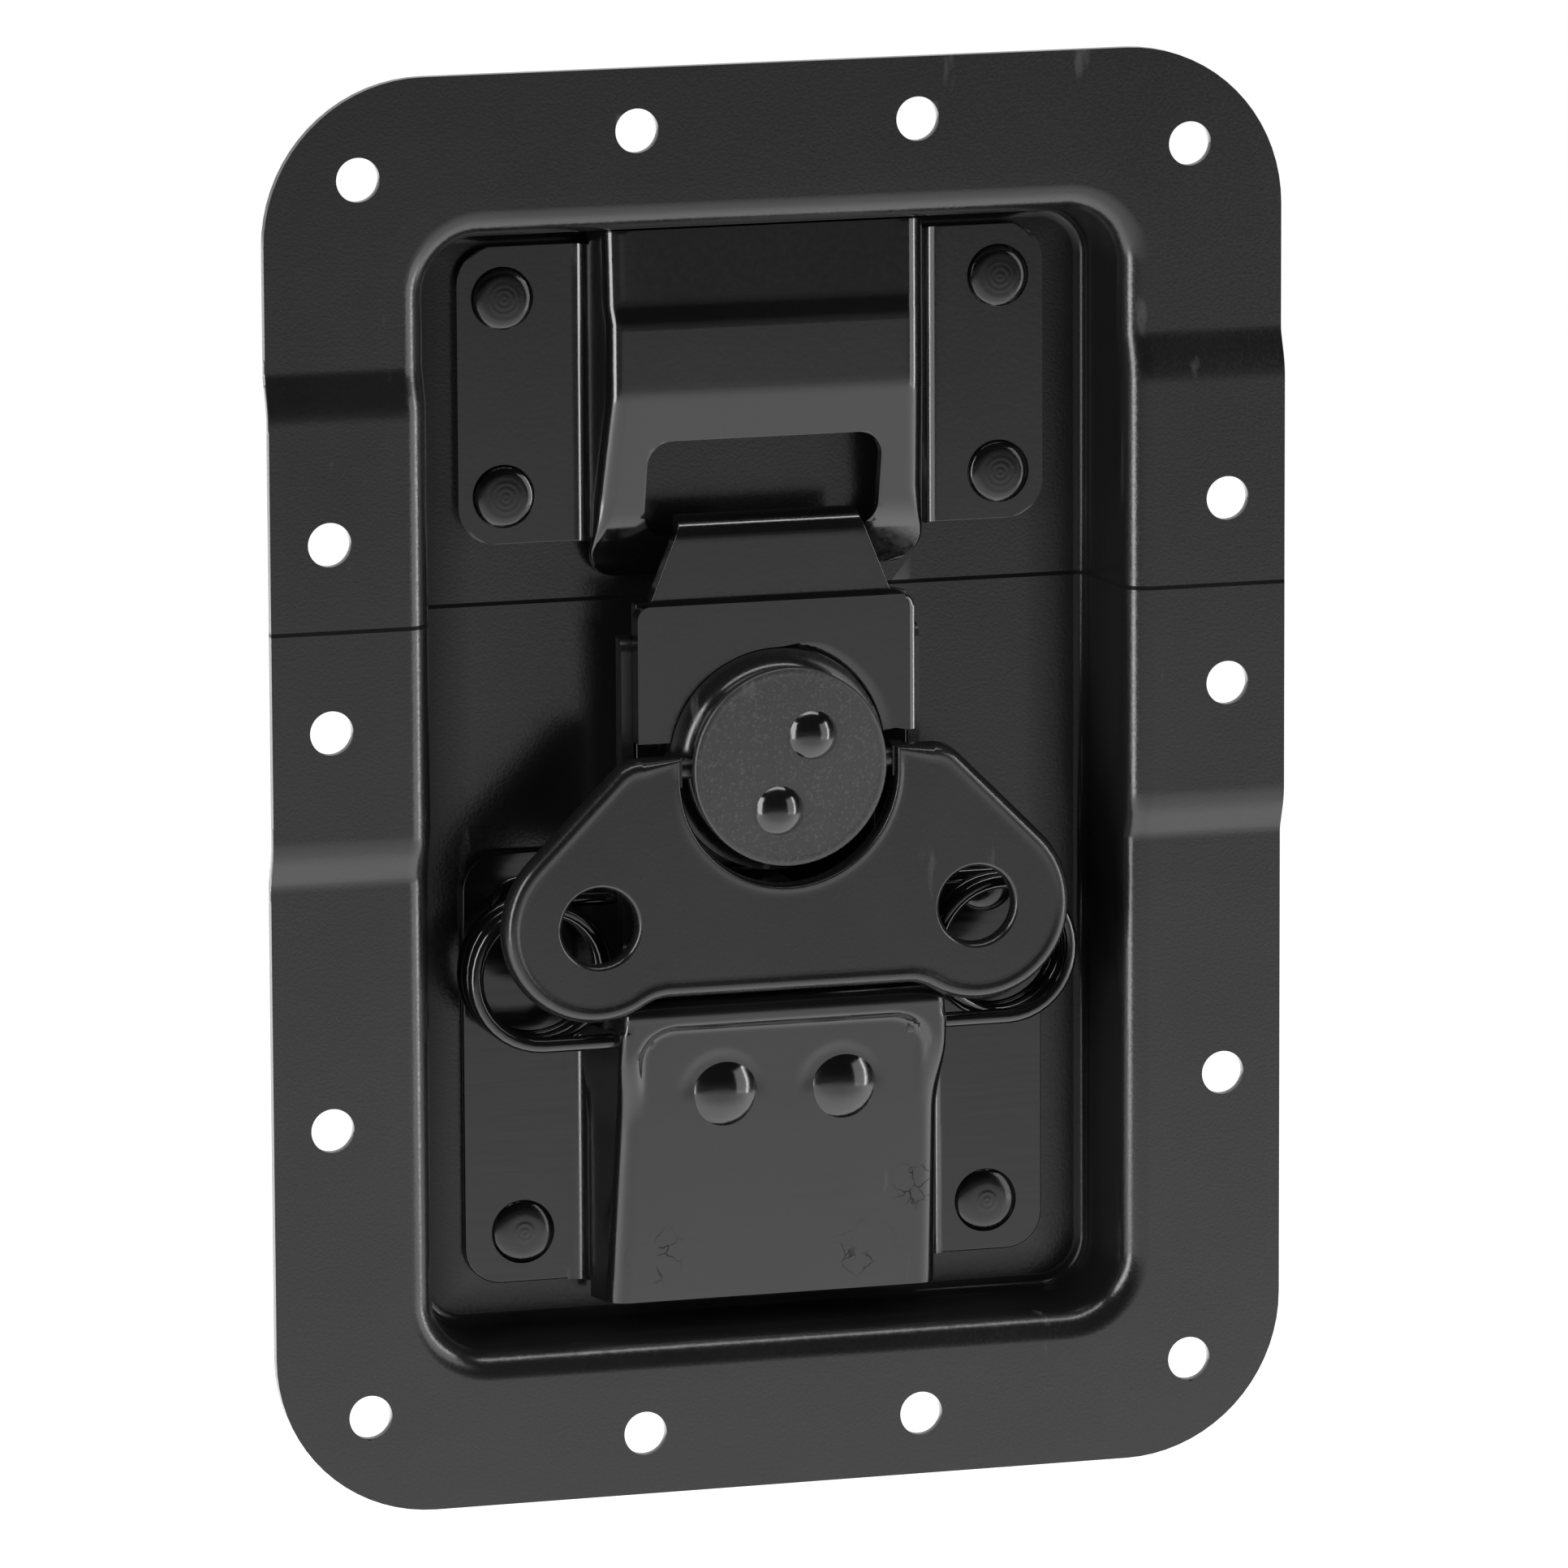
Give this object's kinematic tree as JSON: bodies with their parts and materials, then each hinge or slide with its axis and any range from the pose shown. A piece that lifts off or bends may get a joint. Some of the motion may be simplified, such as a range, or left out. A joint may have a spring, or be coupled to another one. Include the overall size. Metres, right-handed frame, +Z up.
{
  "type": "butterfly latch",
  "caption": "Black recessed butterfly latch in a split pressed dish: keeper with hood, sprung swinging hook plate, cam drum with a folding butterfly handle.",
  "frame": {"origin": "centre of the four corner holes, on the rear plane of the main flange, where the latch meets the case", "axes": "+X across the latch to its right as seen by the user, +Y into the case, +Z up along the latch towards the keeper"},
  "size_m": [0.126, 0.0207, 0.1724],
  "materials": {
    "dish_black": "satin black coating on pressed steel with a fine grain",
    "gloss_black": "glossy black coating on pressed steel",
    "rivet_black": "glossy black coating, turning marks on the domes",
    "inner_black": "black coating on steel",
    "spring_black": "glossy black coated spring wire",
    "drum_black": "black coating on a cast drum",
    "cap_black": "satin black coating with a fine speckle",
    "handle_black": "semi-gloss black coating on pressed steel"
  },
  "bodies": {
    "root": {"upper_dish": "dish_black", "lower_dish": "dish_black", "keeper": "gloss_black", "keeper_rivets": "rivet_black", "latch_housing": "gloss_black", "housing_rivets": "rivet_black", "cover_rivets": "rivet_black", "wire_clamp": "inner_black", "spring": "spring_black"},
    "carrier": {"carrier": "inner_black", "guide_rivet": "inner_black", "cam_stud": "inner_black", "stud_washer": "inner_black"},
    "hook": {"hook_plate": "gloss_black"},
    "cam": {"cam": "inner_black", "drum": "drum_black", "cap_disc": "cap_black", "cap_rivets": "cap_black", "handle_pins": "inner_black"},
    "handle": {"handle": "handle_black"}
  },
  "joints": [
    {"name": "carrier_tilt", "type": "hinge", "parent": "root", "child": "carrier", "pos_m": [0, 0.0012, -0.031], "axis": [1, 0, 0], "range_deg": [0, 50], "deforming": ["spring"]},
    {"name": "hook_slide", "type": "slide", "parent": "carrier", "child": "hook", "axis": [0, 0, 1], "range_m": [0, 0.006]},
    {"name": "cam_turn", "type": "hinge", "parent": "carrier", "child": "cam", "pos_m": [0, 0, 0.0023], "axis": [0, 1, 0], "range_deg": [0, 180]},
    {"name": "handle_flip", "type": "hinge", "parent": "cam", "child": "handle", "pos_m": [0, -0.0026, 0.0023], "axis": [-1, 0, 0], "range_deg": [0, 90]}
  ],
  "couplings": [
    {"joint": "hook_slide", "follows": "cam_turn", "m_per_rad": 0.0019098}
  ]
}
